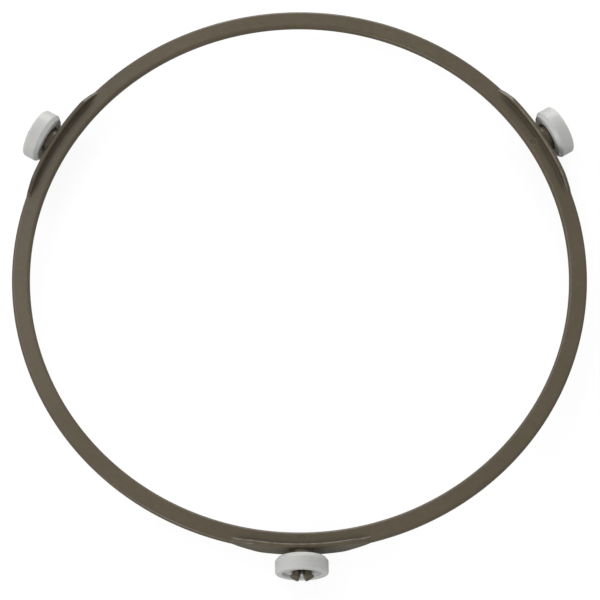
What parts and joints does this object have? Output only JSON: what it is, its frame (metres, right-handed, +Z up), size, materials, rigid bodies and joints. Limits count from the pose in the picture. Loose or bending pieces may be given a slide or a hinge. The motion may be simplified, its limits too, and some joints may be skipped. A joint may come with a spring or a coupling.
{
  "type": "microwave roller ring",
  "caption": "Flat moulded ring with upright ears, each holding a white roller on a split snap-in stub axle; it carries and guides a microwave oven's glass tray.",
  "frame": {"origin": "on the ring's axis, on the oven floor that the rollers stand on", "axes": "+Z up along the ring's axis, -Y out through the front roller, +X to the right when seen from the front"},
  "size_m": [0.2008, 0.2108, 0.018],
  "materials": {
    "ring_plastic": "brown-grey heat-resistant moulded plastic, satin",
    "roller_plastic": "white low-friction moulded plastic, satin"
  },
  "bodies": {
    "ring": {"ring_frame": "ring_plastic"},
    "front_wheel": {"roller_front": "roller_plastic"},
    "right_wheel": {"roller_right": "roller_plastic"},
    "left_wheel": {"roller_left": "roller_plastic"}
  },
  "joints": [
    {"name": "front_spin", "type": "hinge", "parent": "ring", "child": "front_wheel", "pos_m": [0, -0.10605, 0.009], "axis": [0, -1, 0], "continuous": true},
    {"name": "right_spin", "type": "hinge", "parent": "ring", "child": "right_wheel", "pos_m": [0.09184, 0.05303, 0.009], "axis": [0.866, 0.5, 0], "continuous": true},
    {"name": "left_spin", "type": "hinge", "parent": "ring", "child": "left_wheel", "pos_m": [-0.09184, 0.05303, 0.009], "axis": [-0.866, 0.5, 0], "continuous": true}
  ]
}
